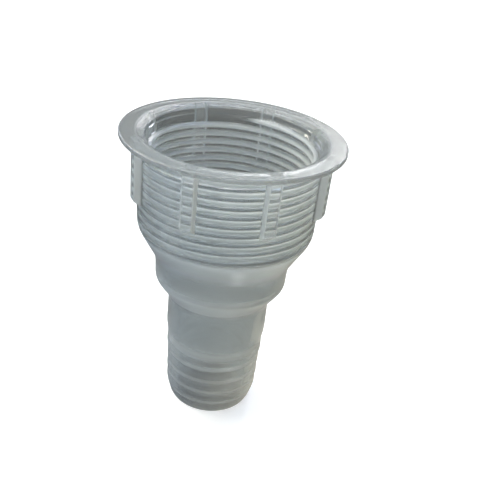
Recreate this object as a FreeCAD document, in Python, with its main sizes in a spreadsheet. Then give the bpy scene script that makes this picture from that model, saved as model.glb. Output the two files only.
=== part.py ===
import FreeCAD, Part
import os
import Sketcher

# Basin waste coupling: one translucent plastic moulding.  It is a round cup
# with a flange at its mouth and a female G 1 1/4 thread inside, a cone down to
# a short middle barrel, and a hose spigot with low grip ridges below it.
# Eight upright grip lugs stand round the outside of the cup.
#
# Frame: millimetres, +Z up along the axis, origin on the axis at the open lower
# end of the spigot.  A lug lies on the +X side.

os.makedirs("parts", exist_ok=True)
doc = FreeCAD.newDocument("waste_coupling")

# ---------------------------------------------------------------- dimensions
sheet = doc.addObject("Spreadsheet::Sheet", "Dims")
CELLS = [
    # heights above the spigot's end
    ("overall_height", 77.8), ("flange_under_z", 76.5), ("cone_top_z", 53.6),
    ("barrel_top_z", 44.6), ("barrel_low_z", 38.37), ("spigot_top_z", 32.96),
    # outer radii
    ("flange_rad", 27.5), ("cup_top_rad", 22.95), ("cup_low_rad", 22.55),
    ("barrel_top_rad", 17.52), ("barrel_low_rad", 17.28), ("spigot_rad", 13.49),
    # spigot: a parallel land, then shallow steps whose lips are the ridges
    ("land_low_z", 23.5),
    ("groove_a_z", 20.1), ("groove_a_rad", 13.03),
    ("ridge_a_z", 16.9), ("ridge_a_rad", 13.13),
    ("groove_b_z", 15.3), ("groove_b_rad", 12.83),
    ("ridge_b_z", 12.8), ("ridge_b_rad", 12.87),
    ("groove_c_z", 11.2), ("groove_c_rad", 12.68),
    ("ridge_c_z", 8.7), ("ridge_c_rad", 12.77),
    ("groove_d_z", 7.0), ("groove_d_rad", 12.58),
    ("ridge_d_z", 4.9), ("ridge_d_rad", 12.62),
    ("taper_z", 3.7), ("taper_rad", 12.42),
    ("nose_z", 0.9), ("nose_rad", 11.50), ("end_rad", 11.00),
    # inside, from the mouth down
    ("mouth_rad", 23.5), ("entry_top_z", 76.6), ("entry_rad", 21.3),
    ("entry_low_z", 75.85), ("root_top_z", 75.67),
    ("thread_root_rad", 20.955), ("root_low_z", 53.6),
    ("floor_z", 52.1), ("floor_rad", 19.6),
    ("throat_cone_z", 45.2), ("throat_rad", 15.8),
    ("throat_low_z", 39.2), ("throat_low_rad", 15.66),
    ("bore_top_z", 33.5), ("bore_rad", 11.70), ("bore_end_rad", 10.55),
    # female thread G 1 1/4: the ridge is wound on the wall at the root radius
    ("thread_pitch", 2.309), ("thread_crest_rad", 19.6),
    ("thread_crest_half", 0.26), ("thread_foot_half", 0.962),
    ("thread_seat_rad", 21.45), ("thread_start_z", 53.154),
    ("thread_height", 21.55),
    # grip lugs
    ("lug_root_rad", 22.2), ("lug_rad", 25.0), ("lug_low_rad", 24.82),
    ("lug_top_z", 76.8), ("lug_low_z", 62.4), ("lug_foot_z", 60.44),
    ("lug_width", 3.26), ("lug_count", 8),
    # blends
    ("flange_edge", 0.55), ("cup_blend", 7.0),
    ("cone_blend", 9.0), ("barrel_blend", 2.4), ("spigot_blend", 5.0),
    ("mouth_blend", 0.25), ("nose_blend", 0.30), ("lug_blend", 0.35),
    ("floor_blend", 2.0), ("throat_blend", 6.0),
]
VALUE = {}
for row, (alias, number) in enumerate(CELLS, start=1):
    sheet.set("A%d" % row, alias)
    sheet.set("B%d" % row, str(number))
    sheet.setAlias("B%d" % row, alias)
    VALUE[alias] = float(number)
doc.recompute()


def plane(body, role):
    """One of the body's own origin planes."""
    for feature in body.Origin.OriginFeatures:
        if feature.Role == role:
            return feature
    raise RuntimeError("no " + role)


def outline(body, name, corners):
    """Closed sketch on the body's XZ plane.  Each corner is a pair of sheet
    aliases, its radius and its height, and both are bound to the sheet."""
    sketch = body.newObject("Sketcher::SketchObject", name)
    sketch.AttachmentSupport = [(plane(body, "XZ_Plane"), "")]
    sketch.MapMode = "FlatFace"
    points = [FreeCAD.Vector(VALUE[a], VALUE.get(b, 0.0), 0) for a, b in corners]
    count = len(points)
    for i in range(count):
        sketch.addGeometry(Part.LineSegment(points[i], points[(i + 1) % count]), False)
    for i in range(count):
        sketch.addConstraint(Sketcher.Constraint("Coincident", i, 2, (i + 1) % count, 1))
    bound = []
    for i, (a, b) in enumerate(corners):
        k = sketch.addConstraint(Sketcher.Constraint("DistanceX", -1, 1, i, 1, VALUE[a]))
        bound.append((k, a))
        if b == "zero":
            sketch.addConstraint(Sketcher.Constraint("PointOnObject", i, 1, -1))
        else:
            k = sketch.addConstraint(Sketcher.Constraint("DistanceY", -1, 1, i, 1, VALUE[b]))
            bound.append((k, b))
    for k, alias in bound:
        sketch.setExpression("Constraints[%d]" % k, "Dims." + alias)
    return sketch


# ------------------------------------------------------------------ the body
body = doc.addObject("PartDesign::Body", "waste_coupling")
body.Label = "waste_coupling"
body.Placement = FreeCAD.Placement()

wall = outline(body, "wall_section", [
    # outside, from the mouth down to the spigot's end
    ("mouth_rad", "overall_height"), ("flange_rad", "overall_height"),
    ("flange_rad", "flange_under_z"), ("cup_top_rad", "flange_under_z"),
    ("cup_low_rad", "cone_top_z"), ("barrel_top_rad", "barrel_top_z"),
    ("barrel_low_rad", "barrel_low_z"), ("spigot_rad", "spigot_top_z"),
    ("spigot_rad", "land_low_z"), ("groove_a_rad", "groove_a_z"),
    ("ridge_a_rad", "ridge_a_z"), ("groove_b_rad", "groove_b_z"),
    ("ridge_b_rad", "ridge_b_z"), ("groove_c_rad", "groove_c_z"),
    ("ridge_c_rad", "ridge_c_z"), ("groove_d_rad", "groove_d_z"),
    ("ridge_d_rad", "ridge_d_z"), ("taper_rad", "taper_z"),
    ("nose_rad", "nose_z"), ("end_rad", "zero"),
    # inside, back up to the mouth
    ("bore_end_rad", "zero"), ("bore_rad", "bore_top_z"),
    ("throat_low_rad", "throat_low_z"), ("throat_rad", "throat_cone_z"),
    ("floor_rad", "floor_z"),
    ("thread_root_rad", "root_low_z"), ("thread_root_rad", "root_top_z"),
    ("entry_rad", "entry_low_z"), ("entry_rad", "entry_top_z"),
])
turned = body.newObject("PartDesign::Revolution", "turned_wall")
turned.Profile = wall
turned.ReferenceAxis = (wall, ["V_Axis"])
turned.Angle = 360.0
doc.recompute()


def rings(shape, places):
    """Names of the circular edges at the given (radius, height) places."""
    names = []
    for radius, height in places:
        hit = None
        for i, edge in enumerate(shape.Edges, start=1):
            curve = edge.Curve
            if isinstance(curve, Part.Circle) and abs(curve.Radius - radius) < 0.02 \
                    and abs(curve.Center.z - height) < 0.02 \
                    and abs(curve.Center.x) + abs(curve.Center.y) < 0.01:
                hit = "Edge%d" % i
        if hit is None:
            raise RuntimeError("no edge at %s %s" % (radius, height))
        names.append(hit)
    return names


def blend(name, base, places, alias):
    feature = body.newObject("PartDesign::Fillet", name)
    feature.Base = (base, rings(base.Shape, places))
    feature.Radius = VALUE[alias]
    feature.setExpression("Radius", "Dims." + alias)
    doc.recompute()
    return feature


V = VALUE
last = blend("cup_corner", turned, [(V["cup_low_rad"], V["cone_top_z"])], "cup_blend")
last = blend("cone_foot", last, [(V["barrel_top_rad"], V["barrel_top_z"])], "cone_blend")
last = blend("barrel_corner", last, [(V["barrel_low_rad"], V["barrel_low_z"])], "barrel_blend")
last = blend("spigot_root", last, [(V["spigot_rad"], V["spigot_top_z"])], "spigot_blend")
last = blend("throat_root", last, [(V["throat_rad"], V["throat_cone_z"])], "throat_blend")
last = blend("bore_root", last, [(V["bore_rad"], V["bore_top_z"]),
                                 (V["throat_low_rad"], V["throat_low_z"])], "floor_blend")
last = blend("nose_edge", last, [(V["nose_rad"], V["nose_z"])], "nose_blend")

# ------------------------------------------------------------------ the lugs
side = outline(body, "lug_side", [
    ("lug_root_rad", "lug_top_z"), ("lug_rad", "lug_top_z"),
    ("lug_low_rad", "lug_low_z"), ("lug_root_rad", "lug_foot_z"),
])
lug = body.newObject("PartDesign::Pad", "lug")
lug.Profile = side
lug.Midplane = True
lug.Length = V["lug_width"]
lug.setExpression("Length", "Dims.lug_width")
doc.recompute()
one_lug = lug.Shape.Volume - last.Shape.Volume
if one_lug < 50.0:
    raise RuntimeError("the lug adds nothing")

around = body.newObject("PartDesign::PolarPattern", "lugs_around")
around.Originals = [lug]
around.Axis = (side, ["V_Axis"])
around.Angle = 360.0
around.Occurrences = int(V["lug_count"])
around.setExpression("Occurrences", "Dims.lug_count")
body.Tip = around
doc.recompute()
added = around.Shape.Volume - last.Shape.Volume
if abs(added - V["lug_count"] * one_lug) > 0.02 * added:
    raise RuntimeError("the lugs did not repeat evenly")


def lug_edges(shape):
    """The lugs' free corners: the two long ones on each outer face, and the
    lower edge of that face."""
    names = []
    for i, edge in enumerate(shape.Edges, start=1):
        if not isinstance(edge.Curve, (Part.Line, Part.LineSegment)):
            continue
        a, b = edge.Vertexes[0].Point, edge.Vertexes[-1].Point
        ra, rb = (a.x ** 2 + a.y ** 2) ** 0.5, (b.x ** 2 + b.y ** 2) ** 0.5
        if min(ra, rb) > V["lug_low_rad"] - 0.05 and min(a.z, b.z) < V["lug_low_z"] + 0.5:
            names.append("Edge%d" % i)
    return names


names = lug_edges(around.Shape)
if len(names) != 3 * int(V["lug_count"]):
    raise RuntimeError("lug corners found: %d" % len(names))
soft = body.newObject("PartDesign::Fillet", "lug_corners")
soft.Base = (around, names)
soft.Radius = V["lug_blend"]
soft.setExpression("Radius", "Dims.lug_blend")
body.Tip = soft
doc.recompute()

rim = blend("flange_rim", soft, [(V["flange_rad"], V["overall_height"]),
                                 (V["flange_rad"], V["flange_under_z"])], "flange_edge")
lip = blend("mouth_lip", rim, [(V["mouth_rad"], V["overall_height"])], "mouth_blend")

# ---------------------------------------------------------------- the thread
# A right-hand ridge of the thread's own pitch and flank angle, from the floor
# of the cup to just under the plain entry.  Its foot is sunk in the wall.
form = body.newObject("Sketcher::SketchObject", "thread_form")
form.AttachmentSupport = [(plane(body, "XZ_Plane"), "")]
form.MapMode = "FlatFace"
middle = V["thread_start_z"]
corners = [("thread_seat_rad", "thread_foot_half", -1), ("thread_seat_rad", "thread_foot_half", 1),
           ("thread_root_rad", "thread_foot_half", 1), ("thread_crest_rad", "thread_crest_half", 1),
           ("thread_crest_rad", "thread_crest_half", -1), ("thread_root_rad", "thread_foot_half", -1)]
points = [FreeCAD.Vector(V[a], middle + sign * V[b], 0) for a, b, sign in corners]
for i in range(6):
    form.addGeometry(Part.LineSegment(points[i], points[(i + 1) % 6]), False)
for i in range(6):
    form.addConstraint(Sketcher.Constraint("Coincident", i, 2, (i + 1) % 6, 1))
for i, (a, b, sign) in enumerate(corners):
    k = form.addConstraint(Sketcher.Constraint("DistanceX", -1, 1, i, 1, points[i].x))
    form.setExpression("Constraints[%d]" % k, "Dims." + a)
    k = form.addConstraint(Sketcher.Constraint("DistanceY", -1, 1, i, 1, points[i].y))
    form.setExpression("Constraints[%d]" % k, "Dims.thread_start_z %s Dims.%s" % ("+" if sign > 0 else "-", b))
doc.recompute()
thread = body.newObject("PartDesign::AdditiveHelix", "thread")
thread.Profile = form
thread.ReferenceAxis = (form, ["V_Axis"])
thread.Mode = "pitch-height-angle"
thread.Pitch = V["thread_pitch"]
thread.Height = V["thread_height"]
thread.Angle = 0.0
thread.LeftHanded = False
thread.Reversed = False
thread.setExpression("Pitch", "Dims.thread_pitch")
thread.setExpression("Height", "Dims.thread_height")
body.Tip = thread
doc.recompute()
turns = V["thread_height"] / V["thread_pitch"]
ridge = (V["thread_root_rad"] - V["thread_crest_rad"]) * (V["thread_foot_half"] + V["thread_crest_half"])
expected = ridge * 2.0 * 3.14159265 * 20.33 * turns
gained = thread.Shape.Volume - lip.Shape.Volume
print("thread adds", round(gained, 1), "of about", round(expected, 1), "mm3")
if not 0.85 * expected < gained < 1.1 * expected:
    raise RuntimeError("the thread's volume is off")

# -------------------------------------------------------------------- checks
for obj in doc.Objects:
    if "Invalid" in obj.State or "Error" in obj.State:
        raise RuntimeError("%s: %s" % (obj.Name, obj.State))
shape = body.Shape
if shape.isNull() or not shape.isValid() or len(shape.Solids) != 1:
    raise RuntimeError("waste_coupling: bad shape")
box = shape.BoundBox
print("box", [round(v, 3) for v in (box.XMin, box.YMin, box.ZMin, box.XMax, box.YMax, box.ZMax)])
print("volume mm3", round(shape.Volume, 1), "faces", len(shape.Faces))

shape.exportStep("parts/%s.step" % body.Label)
print("wrote parts/%s.step" % body.Label)
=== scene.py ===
import math

import bmesh
import bpy
import numpy as np
from mathutils import Matrix, Vector


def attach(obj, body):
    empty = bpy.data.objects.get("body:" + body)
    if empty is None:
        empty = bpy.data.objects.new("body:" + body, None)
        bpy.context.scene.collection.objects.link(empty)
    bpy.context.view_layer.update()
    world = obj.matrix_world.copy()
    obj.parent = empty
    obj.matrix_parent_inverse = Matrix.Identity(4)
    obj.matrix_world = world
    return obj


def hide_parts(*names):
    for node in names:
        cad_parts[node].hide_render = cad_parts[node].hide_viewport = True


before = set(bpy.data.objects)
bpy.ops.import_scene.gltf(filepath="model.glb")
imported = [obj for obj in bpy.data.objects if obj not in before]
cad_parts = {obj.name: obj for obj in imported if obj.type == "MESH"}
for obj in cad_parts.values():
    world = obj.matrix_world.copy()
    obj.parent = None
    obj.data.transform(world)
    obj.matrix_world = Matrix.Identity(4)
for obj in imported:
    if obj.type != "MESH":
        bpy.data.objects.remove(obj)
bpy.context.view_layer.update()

# A basin waste coupling moulded in one piece in hazy translucent plastic.
# Everything below is worked out in millimetres in the row frame and scaled to
# metres when the mesh is made: axis on Z, open lower end of the spigot at z 0.
MM = 0.001
TAU = 2.0 * math.pi


# ------------------------------------------------------------------ camera
def place_camera():
    """The photograph's view: 29 degrees above the horizon, a little rolled."""
    e, roll, turn = math.radians(29.087), math.radians(6.948), math.radians(18.4)
    forward = np.array([0.0, math.cos(e), -math.sin(e)])
    right = np.array([1.0, 0.0, 0.0])
    up = np.cross(right, forward)
    rows = np.stack([right, up, forward])
    cr, sr = math.cos(roll), math.sin(roll)
    rows = np.array([[cr, sr, 0], [-sr, cr, 0], [0, 0, 1]]) @ rows
    eye = -rows.T @ np.array([-3.66, 27.99, 167.378])
    ct, st = math.cos(turn), math.sin(turn)
    spin = np.array([[ct, -st, 0], [st, ct, 0], [0, 0, 1]])
    rows = rows @ spin.T
    eye = spin @ eye + np.array([0.0, 0.0, 77.8])
    data = bpy.data.cameras.new("view")
    data.sensor_width = 36.0
    data.lens = 50.4
    data.clip_start, data.clip_end = 0.005, 30.0
    cam = bpy.data.objects.new("view", data)
    bpy.context.scene.collection.objects.link(cam)
    m = Matrix.Identity(4)
    for i in range(3):
        m[i][0], m[i][1], m[i][2], m[i][3] = rows[0][i], rows[1][i], -rows[2][i], eye[i] * MM
    cam.matrix_world = m
    bpy.context.scene.camera = cam
    return cam


place_camera()


# ------------------------------------------------------------------ sections
def rounded(corners, step=9.0):
    """Polyline through (r, z, radius) corners, each corner an arc of its radius."""
    pts = [np.array(c[:2], float) for c in corners]
    out = [pts[0]]
    for i in range(1, len(pts) - 1):
        a, b, c, rad = pts[i - 1], pts[i], pts[i + 1], corners[i][2]
        u, v = (a - b) / np.linalg.norm(a - b), (c - b) / np.linalg.norm(c - b)
        turn = math.pi - math.acos(float(np.clip(u @ v, -1, 1)))
        if rad <= 0 or turn < 1e-4:
            out.append(b)
            continue
        cut = rad * math.tan(turn / 2)
        room = 0.48 * min(np.linalg.norm(a - b), np.linalg.norm(c - b))
        if cut > room:
            cut = room
        rad = cut / math.tan(turn / 2)
        mid = (u + v) / np.linalg.norm(u + v)
        centre = b + mid * math.hypot(cut, rad)
        s, t = b + u * cut - centre, b + v * cut - centre
        n = max(2, int(round(math.degrees(turn) / step)))
        for k in range(n + 1):
            f = k / n
            w = (math.sin((1 - f) * turn) * s + math.sin(f * turn) * t) / math.sin(turn)
            out.append(centre + w)
    out.append(pts[-1])
    return np.array(out)


def filled(line, longest):
    """The polyline with no span longer than that."""
    out = [line[0]]
    for a, b in zip(line[:-1], line[1:]):
        n = max(1, int(math.ceil(np.linalg.norm(b - a) / longest)))
        out += [a + (b - a) * k / n for k in range(1, n + 1)]
    return np.array(out)


def smooth_max(a, b, w):
    h = np.clip(0.5 + 0.5 * (a - b) / w, 0, 1)
    return b + (a - b) * h + w * h * (1 - h)


def smooth_min(a, b, w):
    return -smooth_max(-a, -b, w)


def ramp(x, a, b):
    x = np.clip((x - a) / (b - a), 0, 1)
    return x * x * (3 - 2 * x)


def drift(theta, z, seed, size):
    """The slight unevenness of a moulded wall, in millimetres, never positive."""
    rng = np.random.RandomState(seed)
    total = np.zeros(np.broadcast(theta, z).shape)
    for n in (2, 3, 5, 7, 11):
        p, q, k = rng.uniform(0, TAU, 3)
        total = total + np.cos(n * theta + p) * np.cos(z * (0.11 + 0.035 * n) + q) / n ** 0.6
    return size * (total / 2.6 - 1.0) * 0.5


# ------------------------------------------------------------------ outside
TOP = 77.8
LUGS = 8
SPIGOT = [
    (10.78, 0.0, 0), (11.12, 0.0, 0.3), (11.62, 1.0, 1.1), (12.36, 3.5, 1.6),
    (12.62, 4.9, 2.0), (12.58, 7.0, 1.5), (12.77, 8.7, 1.5), (12.68, 11.2, 1.5),
    (12.87, 12.8, 1.5), (12.83, 15.3, 1.5), (13.13, 16.9, 1.5), (13.03, 20.1, 3.0),
    (13.49, 23.5, 6.0), (13.49, 32.96, 5.0), (17.28, 38.37, 2.4), (17.52, 44.6, 9.0),
    (22.55, 53.6, 7.0), (22.70, 59.6, 0),
]


def lug_section(delta, z, cup):
    """Radius of the outside at an angle delta from a lug's middle: the cup's own
    radius, or the lug's rounded block where that stands further out."""
    half, corner = 1.63, 0.34
    face = 24.82 + 0.18 * (z - 62.4) / 14.4
    slope = 24.82 + (z - 62.4) * 1.337
    face = smooth_min(face, slope, 0.2)
    lo, hi = np.full(np.broadcast(delta, z).shape, 20.0), np.full(np.broadcast(delta, z).shape, 26.5)
    for _ in range(26):
        r = 0.5 * (lo + hi)
        x, y = r * np.cos(delta), np.abs(r * np.sin(delta))
        qx, qy = x - (face - corner), y - (half - corner)
        d = np.hypot(np.maximum(qx, 0), np.maximum(qy, 0)) + np.minimum(np.maximum(qx, qy), 0) - corner
        inside = d < 0
        lo, hi = np.where(inside, r, lo), np.where(inside, hi, r)
    return smooth_max(0.5 * (lo + hi), cup + 0 * delta, 0.14)


def outer_columns():
    half = [0, 1.6, 2.5, 2.95, 3.2, 3.42, 3.58, 3.70, 3.84, 4.0, 4.13, 4.35, 5.0, 6.6]
    half += list(np.linspace(8.8, 22.5, 9))
    one = [-a for a in half[1:-1]][::-1] + half
    return np.radians(np.array([45.0 * k + a for k in range(LUGS) for a in one]))


def outer_surface():
    """Rows of points from the spigot's end face up the outside, round the flange
    and onto its top face."""
    th = outer_columns()
    delta = (th + math.pi / LUGS) % (TAU / LUGS) - math.pi / LUGS
    low = rounded(SPIGOT)
    ridged = low[:, 1] < 24.0
    low = np.concatenate([filled(low[ridged], 0.8), filled(np.concatenate([low[ridged][-1:], low[~ridged]]), 1.7)[1:]])
    rows = []
    for r, z in low:
        wob = drift(th, np.array(z), 3, 0.05 * min(1.0, max(0.0, (z - 0.5) / 3)))
        rows.append(np.stack([r + wob, np.full(len(th), z)], 1))
    zs = [60.1, 60.5, 60.72, 60.88, 61.05, 61.3, 61.6, 61.85, 62.05, 62.22, 62.4, 62.6, 62.85, 63.3]
    zs += list(np.linspace(64.4, 75.4, 9)) + [75.9, 76.16, 76.34]
    for z in zs:
        cup = 22.55 + 0.4 * (z - 53.6) / 22.9
        r = lug_section(delta, np.array(z), cup)
        r = r + drift(th, np.array(z), 3, 0.05)
        rows.append(np.stack([r, np.full(len(th), z)], 1))
    wall = rows[-1][:, 0]
    # the root under the flange, the underside and the rim
    for out, z in ((0.05, 76.43), (0.13, 76.48), (0.3, 76.5)):
        rows.append(np.stack([wall + out, np.full(len(th), z)], 1))
    start = wall + 0.3
    for f in (0.3, 0.65):
        rows.append(np.stack([start + (26.8 - start) * f, np.full(len(th), 76.5)], 1))
    rim = rounded([(26.8, 76.5, 0), (27.5, 76.5, 0.55), (27.5, TOP, 0.55), (26.6, TOP, 0)], 12)
    for r, z in rim:
        rows.append(np.stack([np.full(len(th), r), np.full(len(th), z)], 1))
    for r in (25.9, 25.2):
        rows.append(np.stack([np.full(len(th), r), np.full(len(th), TOP)], 1))
    return th, np.array(rows)


# ------------------------------------------------------------------ inside
PITCH = 2.309
CREST_R, ROOT_R = 19.6, 20.955
CREST_Z = 53.154          # the ridge's middle at angle 0 on its first turn
TURNS = 9.333
BORE = [
    (10.78, 0.0, 0), (10.55, 0.0, 0.12), (11.70, 33.5, 2.0), (15.66, 39.2, 2.0),
    (15.8, 45.2, 6.0), (19.78, 52.3, 0),
]
MOUTH = [
    (21.3, 75.69, 0), (21.3, 76.6, 0.5), (23.5, TOP, 0.35), (24.4, TOP, 0),
]


def inner_base(z):
    """The inside wall's radius without the ridge, from the cup's floor up."""
    r = np.where(z < 53.7, 19.78 + (z - 52.3) * 0.903, ROOT_R)
    r = smooth_min(r, ROOT_R + 0 * z, 0.25)
    return r + (21.3 - ROOT_R) * ramp(z, 75.3, 75.75)


def ridge(theta, z):
    """The thread ridge's own surface radius at a point of the wall."""
    turn = (z - CREST_Z) / PITCH - theta / TAU
    k = np.round(turn)
    s = np.abs((turn - k) * PITCH)
    along = k + theta / TAU
    fade = ramp(along, -0.02, 0.06) * (1 - ramp(along, TURNS - 0.10, TURNS + 0.03))
    flank = CREST_R + (s - 0.26) * (ROOT_R - CREST_R) / (0.962 - 0.26)
    r = smooth_max(flank, CREST_R + 0 * s, 0.3)
    return r + (1 - fade) * 2.4


def inner_radius(theta, z):
    base = inner_base(z) + drift(theta, z, 8, 0.05)
    return smooth_min(ridge(theta, z), base, 0.3)


def inner_threaded(th):
    """Points of the threaded wall.  Its rows follow the thread: n rows a turn,
    with a wedge of rows below and above that closes it to level rings."""
    k = np.array([0.0, 0.055, 0.10, 0.155, 0.235, 0.325, 0.385, 0.44,
                  0.5, 0.56, 0.615, 0.675, 0.765, 0.845, 0.90, 0.945])
    n, turns, slit, z0 = len(k), 9, 0.15, 52.3
    t = th / TAU
    rows = []
    for m in range(n):                                   # the lower wedge
        at0 = z0 + slit * (m + 1) / (n + 1)
        at1 = z0 + slit + PITCH * k[m]
        rows.append((1 - t) * at0 + t * at1)
    for turn in range(turns):                            # the full turns
        for m in range(n):
            rows.append(z0 + slit + PITCH * (turn + k[m] + t))
    top = z0 + slit + PITCH * (turns + 1)
    for m in range(n):                                   # the upper wedge
        at0 = z0 + slit + PITCH * (turns + k[m])
        at1 = top + slit * m / (n + 1)
        rows.append((1 - t) * at0 + t * at1)
    z = np.array(rows)
    r = inner_radius(th[None, :] + 0 * z, z)
    return np.stack([r, z], 2), n, top + slit


# ------------------------------------------------------------------ haze
# The plastic is clear where it is thin and milky where it is thick or where the
# tool left its surface matt.  Each list gives a radius and the share scattered.
CUP_HAZE = [(11.8, 0.03), (13.3, 0.05), (13.5, 0.10), (13.8, 0.12), (14.3, 0.44), (17.2, 0.44), (17.42, 0.12), (17.56, 0.10),
            (17.75, 0.11), (20.0, 0.06), (22.4, 0.04), (25.0, 0.05)]
LUG_HAZE = 0.16
# added up the spigot, by height
RING_HAZE = [(0.0, 0.06), (1.6, 0.12), (2.8, 0.02), (3.3, 0.14), (4.0, 0.30), (4.8, 0.20), (5.6, 0.0), (6.6, 0.06),
             (7.2, 0.22), (7.9, 0.34), (8.6, 0.20), (9.1, 0.02), (10.2, 0.08), (11.0, 0.26), (11.8, 0.34), (12.4, 0.14),
             (12.8, 0.03), (13.2, 0.15), (13.7, 0.15), (14.4, 0.02), (15.0, 0.20), (15.6, 0.34), (16.6, 0.22),
             (17.6, 0.05), (18.2, 0.12), (19.2, 0.30), (20.4, 0.34), (21.8, 0.18), (23.4, 0.0)]
BORE_HAZE = [(12.0, 0.20), (16.0, 0.22), (19.1, 0.60), (19.6, 0.92), (19.9, 0.80), (20.25, 0.50), (20.6, 0.16), (20.85, 0.04), (21.4, 0.05)]
RIM_HAZE = [(21.3, 0.12), (21.7, 0.08), (23.1, 0.12), (23.5, 0.36), (23.8, 0.23), (27.4, 0.20)]


def outside_haze(r, z):
    """The spigot's low ridges carry milky rings, with clearer rings between."""
    return np.interp(r, *zip(*CUP_HAZE)) + np.interp(z, *zip(*RING_HAZE))


# ------------------------------------------------------------------ mesh
class Skin:
    def __init__(self):
        self.co, self.faces, self.count = [], [], 0
        self.inner_from = 0

    def rows(self, th, pts):
        """Adds rows of (r, z) points and returns their vertex numbers."""
        rr, zz = pts[:, :, 0], pts[:, :, 1]
        xyz = np.stack([rr * np.cos(th), rr * np.sin(th), zz], 2).reshape(-1, 3)
        ids = self.count + np.arange(len(xyz)).reshape(rr.shape)
        self.co.append(xyz)
        self.count += len(xyz)
        return ids

    def band(self, a, b, wrap=True):
        """Quads between two rows of vertex numbers."""
        n = len(a)
        for i in range(n if wrap else n - 1):
            j = (i + 1) % n
            self.faces.append((int(a[i]), int(a[j]), int(b[j]), int(b[i])))

    def zip(self, a, ta, b, tb):
        """Triangles between two rings whose points stand at different angles."""
        i = j = 0
        while i < len(a) or j < len(b):
            na = ta[i + 1] if i + 1 < len(a) else (ta[0] + TAU if i < len(a) else 1e9)
            nb = tb[j + 1] if j + 1 < len(b) else (tb[0] + TAU if j < len(b) else 1e9)
            if i < len(a) and (na <= nb or j >= len(b)):
                self.faces.append((int(a[i]), int(a[(i + 1) % len(a)]), int(b[j % len(b)])))
                i += 1
            else:
                self.faces.append((int(a[i % len(a)]), int(b[(j + 1) % len(b)]), int(b[j])))
                j += 1


def build_coupling():
    skin = Skin()
    th_out, out_pts = outer_surface()
    out = skin.rows(th_out, out_pts)
    for a, b in zip(out[:-1], out[1:]):
        skin.band(a, b)

    skin.inner_from = len(skin.faces)
    cols = 180
    th = TAU * np.arange(cols) / cols
    bore = filled(rounded(BORE), 1.8)
    low = skin.rows(th, np.repeat(bore[:, None, :], cols, 1))
    for a, b in zip(low[:-1], low[1:]):
        skin.band(b, a)
    screw, n, top = inner_threaded(th)
    spiral = skin.rows(th, screw)
    total = len(spiral)
    # within the turns each column joins the next; across the start the rows
    # shift by one turn, so row m meets row m + n
    for a, b in zip(spiral[:-1], spiral[1:]):
        skin.band(b, a, wrap=False)
    last = cols - 1
    for m in range(total - n - 1):
        skin.faces.append((int(spiral[m + 1][last]), int(spiral[m + 1 + n][0]),
                           int(spiral[m + n][0]), int(spiral[m][last])))
    # the two slits where the wedges close
    skin.band(spiral[0], low[-1], wrap=False)
    fan = [int(low[-1][0])] + [int(spiral[m][0]) for m in range(n + 1)]
    skin.faces.append((int(low[-1][last]), int(spiral[0][last]), fan[-1]))
    for p, q in zip(fan[:-1], fan[1:]):
        skin.faces.append((int(low[-1][last]), q, p))
    mouth = filled(rounded(MOUTH, 12), 0.7)
    mouth[0] = (inner_base(np.array(top)), top)
    up = skin.rows(th, np.repeat(mouth[:, None, :], cols, 1))
    for a, b in zip(up[:-1], up[1:]):
        skin.band(b, a)
    skin.band(up[0], spiral[-1], wrap=False)
    fan = [int(spiral[m][last]) for m in range(total - n - 1, total)] + [int(up[0][last])]
    skin.faces.append((int(up[0][0]), int(spiral[-1][0]), fan[0]))
    for p, q in zip(fan[:-1], fan[1:]):
        skin.faces.append((int(up[0][0]), p, q))
    inner_to = len(skin.faces)
    # flat rings that join outside to inside, on the flange and the spigot's end
    skin.zip(out[-1], th_out, up[-1], th)
    skin.zip(low[0], th, out[0], th_out)

    mesh = bpy.data.meshes.new("waste_coupling_body")
    mesh.from_pydata((np.concatenate(skin.co) * MM).tolist(), [], skin.faces)
    for p in mesh.polygons:
        p.material_index = 1 if skin.inner_from <= p.index < inner_to else 0
    bm = bmesh.new()
    bm.from_mesh(mesh)
    bmesh.ops.remove_doubles(bm, verts=bm.verts, dist=1e-7)
    bmesh.ops.recalc_face_normals(bm, faces=bm.faces)
    open_edges = [x for x in bm.edges if len(x.link_faces) != 2]
    volume = bm.calc_volume(signed=True)
    if volume < 0:
        bmesh.ops.reverse_faces(bm, faces=bm.faces)
    print("mesh faces", len(bm.faces), "open edges", len(open_edges), "volume mm3", abs(volume) * 1e9)
    bm.to_mesh(mesh)
    bm.free()
    for p in mesh.polygons:
        p.use_smooth = True
        if p.center[2] > (76.52 if p.material_index == 0 else 76.7) * MM:
            p.material_index = 2
    mesh.set_sharp_from_angle(angle=math.radians(38))
    co = np.zeros(len(mesh.vertices) * 3)
    mesh.vertices.foreach_get("co", co)
    co = co.reshape(-1, 3) / MM
    r, z = np.hypot(co[:, 0], co[:, 1]), co[:, 2]
    inside = np.zeros(len(co), bool)
    for p in mesh.polygons:
        if p.material_index == 1:
            inside[list(p.vertices)] = True
    bore = np.interp(r, *zip(*BORE_HAZE))
    bore = bore + (0.13 - bore) * ramp(r, 20.3, 20.8) * ramp(z, 73.6, 74.6)
    share = np.where(inside, bore, outside_haze(r, z))
    # a lug is milky all over its outside, and milkier along the edges of its face and on its flanks
    th = np.arctan2(co[:, 1], co[:, 0])
    off = np.abs(r * ((th + math.pi / LUGS) % (TAU / LUGS) - math.pi / LUGS))
    edge = ramp(off, 1.35, 1.5)
    share += np.where(inside | (z > 76.45), 0.0, (LUG_HAZE + 0.46 * edge) * ramp(r, 22.95, 23.1))
    share = np.where(z > 76.55, np.interp(r, *zip(*RIM_HAZE)), share)
    haze = mesh.attributes.new("haze", "FLOAT", "POINT")
    haze.data.foreach_set("value", share.astype(np.float32))
    obj = bpy.data.objects.new("coupling_moulding", mesh)
    bpy.context.scene.collection.objects.link(obj)
    return obj


coupling = build_coupling()


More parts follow.
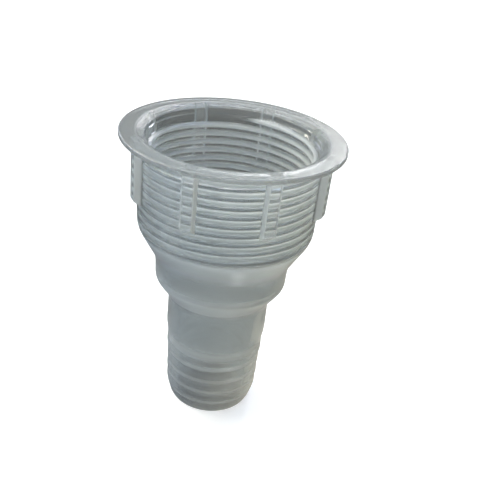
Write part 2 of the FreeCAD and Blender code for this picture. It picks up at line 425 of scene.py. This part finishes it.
# ------------------------------------------------------------------ plastic
def plastic(name, rough_lo, rough_hi, bump_strength, low, high, milk, fine=700.0, painted_shade_level=1.0):
    """Hazy polypropylene: clear plastic mixed with a share that scatters the
    light, which the moulding's own haze value gives point by point."""
    mat = bpy.data.materials.new(name)
    mat.use_nodes = True
    nt = mat.node_tree
    nt.nodes.clear()
    out = nt.nodes.new("ShaderNodeOutputMaterial")
    bsdf = nt.nodes.new("ShaderNodeBsdfPrincipled")
    coords = nt.nodes.new("ShaderNodeTexCoord")
    back = nt.nodes.new("ShaderNodeBsdfPrincipled")
    through = nt.nodes.new("ShaderNodeBsdfTranslucent")
    pair, blend = nt.nodes.new("ShaderNodeMixShader"), nt.nodes.new("ShaderNodeMixShader")
    back.inputs["Base Color"].default_value = through.inputs["Color"].default_value = (0.90, 0.94, 0.94, 1)
    back.inputs["IOR"].default_value = 1.49
    pair.inputs[0].default_value = milk
    nt.links.new(back.outputs[0], pair.inputs[1])
    nt.links.new(through.outputs[0], pair.inputs[2])
    nt.links.new(bsdf.outputs[0], blend.inputs[1])
    nt.links.new(pair.outputs[0], blend.inputs[2])
    nt.links.new(blend.outputs[0], out.inputs["Surface"])
    haze = nt.nodes.new("ShaderNodeAttribute")
    haze.attribute_name = "haze"
    nt.links.new(haze.outputs["Fac"], blend.inputs[0])

    cloud = nt.nodes.new("ShaderNodeTexNoise")
    cloud.inputs["Scale"].default_value = 90.0
    cloud.inputs["Detail"].default_value = 3.0
    nt.links.new(coords.outputs["Object"], cloud.inputs["Vector"])
    tint = nt.nodes.new("ShaderNodeValToRGB")
    tint.color_ramp.elements[0].position = 0.3
    tint.color_ramp.elements[0].color = (*low, 1)
    tint.color_ramp.elements[1].position = 0.7
    tint.color_ramp.elements[1].color = (*high, 1)
    nt.links.new(cloud.outputs["Fac"], tint.inputs["Fac"])
    # painted shade: the least milky places, which are the thread's roots, are given a darker colour so that they look
    # shaded
    root_painted_shade = nt.nodes.new("ShaderNodeMapRange")
    root_painted_shade.inputs["From Min"].default_value = 0.06
    root_painted_shade.inputs["From Max"].default_value = 0.36
    root_painted_shade.inputs["To Min"].default_value = painted_shade_level
    shade = nt.nodes.new("ShaderNodeVectorMath")
    shade.operation = "SCALE"
    nt.links.new(haze.outputs["Fac"], root_painted_shade.inputs["Value"])
    nt.links.new(tint.outputs["Color"], shade.inputs[0])
    nt.links.new(root_painted_shade.outputs["Result"], shade.inputs["Scale"])
    nt.links.new(shade.outputs[0], bsdf.inputs["Base Color"])

    grain = nt.nodes.new("ShaderNodeTexNoise")
    grain.inputs["Scale"].default_value = fine
    grain.inputs["Detail"].default_value = 4.0
    nt.links.new(coords.outputs["Object"], grain.inputs["Vector"])
    rough = nt.nodes.new("ShaderNodeMapRange")
    rough.inputs["From Min"].default_value = 0.3
    rough.inputs["From Max"].default_value = 0.7
    rough.inputs["To Min"].default_value = rough_lo
    rough.inputs["To Max"].default_value = rough_hi
    nt.links.new(grain.outputs["Fac"], rough.inputs["Value"])
    nt.links.new(rough.outputs["Result"], bsdf.inputs["Roughness"])
    nt.links.new(rough.outputs["Result"], back.inputs["Roughness"])

    bump = nt.nodes.new("ShaderNodeBump")
    bump.inputs["Strength"].default_value = bump_strength
    bump.inputs["Distance"].default_value = 0.0001
    nt.links.new(grain.outputs["Fac"], bump.inputs["Height"])
    nt.links.new(bump.outputs["Normal"], bsdf.inputs["Normal"])
    nt.links.new(bump.outputs["Normal"], back.inputs["Normal"])

    bsdf.inputs["IOR"].default_value = 1.49
    bsdf.inputs["Transmission Weight"].default_value = 1.0
    return mat


coupling.data.materials.append(plastic("plastic_outside", 0.08, 0.14, 0.05, (0.70, 0.75, 0.76), (0.78, 0.82, 0.82), 0.4))
# painted shade: the inside's least milky places, the thread's roots above all, are darkened to 0.64 of their colour
coupling.data.materials.append(plastic("plastic_inside", 0.08, 0.12, 0.05, (0.69, 0.75, 0.79), (0.77, 0.82, 0.86), 0.45, 700.0, 0.64))
coupling.data.materials.append(plastic("plastic_rim", 0.12, 0.24, 0.70, (0.70, 0.75, 0.76), (0.80, 0.84, 0.84), 0.4, 3000.0))
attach(coupling, "root")
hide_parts("waste_coupling")


# ------------------------------------------------------------------ stage
# directions are given in the picture's own frame: +x right, +y away
def world_dir(x, y, z):
    t = math.radians(18.4)
    return (x * math.cos(t) - y * math.sin(t), x * math.sin(t) + y * math.cos(t), z)


FLOOR_GLOW = [(0.0, 0.12), (0.0105, 0.12), (0.012, 0.36), (0.0235, 0.38), (0.0255, 0.40), (0.05, 0.36), (0.055, 0.29),
              (0.092, 0.30), (0.104, 0.13), (0.38, 0.13), (0.42, 0.22), (1.0, 0.22)]
SPOT = [(0.0, 1.4), (0.0016, 0.9), (0.0034, 0.10), (0.0050, 0.0)]     # and by distance from a bright patch
SPOT_BEARING, SPOT_AWAY = 40.0, 0.0225


def floor():
    mesh = bpy.data.meshes.new("floor")
    s, z = 3.0, -0.0001
    mesh.from_pydata([(-s, -s, z), (s, -s, z), (s, s, z), (-s, s, z)], [], [(0, 1, 2, 3)])
    obj = bpy.data.objects.new("floor", mesh)
    bpy.context.scene.collection.objects.link(obj)
    m = bpy.data.materials.new("pale_floor")
    m.use_nodes = True
    nt = m.node_tree
    nt.nodes.clear()
    out = nt.nodes.new("ShaderNodeOutputMaterial")
    path = nt.nodes.new("ShaderNodeLightPath")
    pick = nt.nodes.new("ShaderNodeMixShader")
    seen = nt.nodes.new("ShaderNodeAddShader")
    glow = nt.nodes.new("ShaderNodeEmission")
    white = nt.nodes.new("ShaderNodeBsdfDiffuse")
    white.inputs["Color"].default_value = (0.8, 0.8, 0.8, 1)
    # painted light: for every ray but the camera's the floor round the part glows, how strongly by distance from the
    # axis
    coords = nt.nodes.new("ShaderNodeTexCoord")
    away = nt.nodes.new("ShaderNodeVectorMath")
    away.operation = "LENGTH"
    bands = nt.nodes.new("ShaderNodeValToRGB")
    bands.color_ramp.interpolation = "LINEAR"
    stops = bands.color_ramp.elements
    while len(stops) < len(FLOOR_GLOW):
        stops.new(0.5)
    for stop, (r, level) in zip(stops, FLOOR_GLOW):
        stop.position, stop.color = r, (level, level, level, 1)
    painted_floor_glow = nt.nodes.new("ShaderNodeEmission")
    nt.links.new(coords.outputs["Object"], away.inputs[0])
    nt.links.new(away.outputs["Value"], bands.inputs["Fac"])
    # far from the lights the floor is kept as pale as it is near them
    far = nt.nodes.new("ShaderNodeMapRange")
    far.inputs["From Min"].default_value = 0.3
    far.inputs["From Max"].default_value = 1.4
    far.inputs["To Min"].default_value = 0.55
    far.inputs["To Max"].default_value = 0.90
    nt.links.new(away.outputs["Value"], far.inputs["Value"])
    nt.links.new(far.outputs["Result"], glow.inputs["Strength"])
    # and a painted bright patch in front of it, longer round the axis than across
    near = nt.nodes.new("ShaderNodeValToRGB")
    stops = near.color_ramp.elements
    while len(stops) < len(SPOT):
        stops.new(0.5)
    for stop, (r, level) in zip(stops, SPOT):
        stop.position, stop.color = r, (level, level, level, 1)
    bearing = math.radians(SPOT_BEARING)
    out_dir = world_dir(math.sin(bearing), -math.cos(bearing), 0.0)
    side_dir = world_dir(math.cos(bearing), math.sin(bearing), 0.0)
    offset, pack, spot = (nt.nodes.new("ShaderNodeVectorMath"), nt.nodes.new("ShaderNodeCombineXYZ"),
                          nt.nodes.new("ShaderNodeVectorMath"))
    offset.operation, spot.operation = "SUBTRACT", "LENGTH"
    offset.inputs[1].default_value = tuple(SPOT_AWAY * c for c in out_dir)
    nt.links.new(coords.outputs["Object"], offset.inputs[0])
    for k, (axis, scale) in enumerate(((out_dir, 1.0), (side_dir, 0.45))):
        dot = nt.nodes.new("ShaderNodeVectorMath")
        dot.operation = "DOT_PRODUCT"
        dot.inputs[1].default_value = tuple(scale * c for c in axis)
        nt.links.new(offset.outputs[0], dot.inputs[0])
        nt.links.new(dot.outputs["Value"], pack.inputs[k])
    nt.links.new(pack.outputs[0], spot.inputs[0])
    # the painted glow is cooler and weaker to the left, warmer and stronger to the right
    flat, lean, sides, tinted = (nt.nodes.new("ShaderNodeVectorMath"), nt.nodes.new("ShaderNodeVectorMath"),
                                 nt.nodes.new("ShaderNodeMapRange"), nt.nodes.new("ShaderNodeVectorMath"))
    flat.operation, lean.operation, tinted.operation = "NORMALIZE", "DOT_PRODUCT", "MULTIPLY"
    lean.inputs[1].default_value = world_dir(1.0, 0.0, 0.0)
    sides.data_type = "FLOAT_VECTOR"
    sides.inputs[7].default_value = (-1.0, -1.0, -1.0)
    sides.inputs[8].default_value = (1.0, 1.0, 1.0)
    sides.inputs[9].default_value = (0.68, 0.74, 0.82)
    sides.inputs[10].default_value = (1.62, 1.55, 1.32)
    nt.links.new(coords.outputs["Object"], flat.inputs[0])
    nt.links.new(flat.outputs[0], lean.inputs[0])
    nt.links.new(lean.outputs["Value"], sides.inputs[6])
    nt.links.new(bands.outputs["Color"], tinted.inputs[0])
    nt.links.new(sides.outputs[1], tinted.inputs[1])
    both = nt.nodes.new("ShaderNodeVectorMath")
    nt.links.new(spot.outputs["Value"], near.inputs["Fac"])
    nt.links.new(tinted.outputs[0], both.inputs[0])
    nt.links.new(near.outputs["Color"], both.inputs[1])
    nt.links.new(both.outputs[0], painted_floor_glow.inputs["Color"])
    nt.links.new(glow.outputs[0], seen.inputs[0])
    nt.links.new(white.outputs[0], seen.inputs[1])
    nt.links.new(path.outputs["Is Camera Ray"], pick.inputs[0])
    nt.links.new(painted_floor_glow.outputs[0], pick.inputs[1])
    nt.links.new(seen.outputs[0], pick.inputs[2])
    nt.links.new(pick.outputs[0], out.inputs["Surface"])
    mesh.materials.append(m)
    return obj


floor()


def area(name, where, at, size, power, colour=(1, 1, 1)):
    data = bpy.data.lights.new(name, "AREA")
    data.shape = "RECTANGLE"
    data.size, data.size_y = size
    data.energy = power
    data.color = colour
    obj = bpy.data.objects.new(name, data)
    bpy.context.scene.collection.objects.link(obj)
    obj.location = where
    obj.rotation_mode = "QUATERNION"
    obj.rotation_quaternion = (Vector(at) - Vector(where)).to_track_quat("-Z", "Y")
    return obj


# soft boxes round the part: bearing (0 is away from the camera, 90 is the
# picture's right), height in degrees, size in metres and strength in each colour
BOXES = [
    ("lo000", 0, 12, 0.70, 0.36, (0.022, 0.024, 0.025)),
    ("lo135", 135, 12, 0.70, 0.36, (0.142, 0.122, 0.055)),
    ("lo180", 180, 12, 0.70, 0.36, (0.235, 0.230, 0.250)),
    ("lo225", 225, 12, 0.70, 0.36, (0.172, 0.200, 0.200)),
    ("lo270", 270, 12, 0.70, 0.36, (0.170, 0.200, 0.260)),
    ("lo315", 315, 12, 0.70, 0.36, (0.130, 0.130, 0.160)),
    ("mi000", 0, 44, 0.56, 0.42, (0.100, 0.105, 0.106)),
    ("mi270", 270, 38, 0.56, 0.42, (0.270, 0.250, 0.208)),
    ("mi315", 315, 38, 0.56, 0.42, (0.088, 0.086, 0.062)),
    ("hi000", 0, 62, 0.30, 0.30, (0.080, 0.088, 0.100)),
    ("hi045", 45, 62, 0.30, 0.30, (0.040, 0.055, 0.080)),
    ("hi135", 135, 62, 0.30, 0.30, (0.010, 0.020, 0.050)),
    ("hi315", 315, 62, 0.30, 0.30, (0.150, 0.150, 0.150)),
    ("zenith", 0, 88, 0.26, 0.26, (0.130, 0.130, 0.135)),
    ("nl225_50", 225, 50, 0.24, 0.24, (0.022, 0.036, 0.032)),
    ("nl300_30", 300, 30, 0.16, 0.16, (0.220, 0.205, 0.175)),
    ("nb+12_22", 12, 22, 0.16, 0.16, (0.048, 0.048, 0.048)),
    ("nb+12_34", 12, 34, 0.16, 0.16, (0.057, 0.053, 0.053)),
    ("nb+12_48", 12, 48, 0.16, 0.16, (0.120, 0.110, 0.112)),
    ("nb+30_22", 30, 22, 0.16, 0.16, (0.110, 0.112, 0.125)),
    ("nb-06_34", -6, 34, 0.16, 0.16, (0.006, 0.006, 0.006)),
    ("nl275_50", 275, 50, 0.18, 0.18, (0.100, 0.098, 0.090)),
    ("nb+30_48", 30, 48, 0.16, 0.16, (0.012, 0.015, 0.020)),
]
for name, az, el, wide, high, rgb in BOXES:
    az, el, top = math.radians(az), math.radians(el), max(rgb)
    where = world_dir(math.sin(az) * math.cos(el), math.cos(az) * math.cos(el), math.sin(el) + 0.04)
    area("soft_" + name, where, (0, 0, 0.04), (wide, high), 10.0 * top, tuple(c / top for c in rgb))

world = bpy.data.worlds.new("studio")
bpy.context.scene.world = world
world.use_nodes = True
nt = world.node_tree
bg = nt.nodes["Background"]
path = nt.nodes.new("ShaderNodeLightPath")
plain = nt.nodes.new("ShaderNodeBackground")
plain.inputs["Color"].default_value = (0.95, 0.95, 0.95, 1)
pick = nt.nodes.new("ShaderNodeMixShader")
nt.links.new(path.outputs["Is Camera Ray"], pick.inputs[0])
nt.links.new(bg.outputs[0], pick.inputs[1])
nt.links.new(plain.outputs[0], pick.inputs[2])
nt.links.new(pick.outputs[0], nt.nodes["World Output"].inputs["Surface"])
bg.inputs["Color"].default_value = (0.0, 0.0, 0.0, 1)

bpy.context.scene.view_settings.view_transform = "Standard"
bpy.context.scene.view_settings.look = "None"
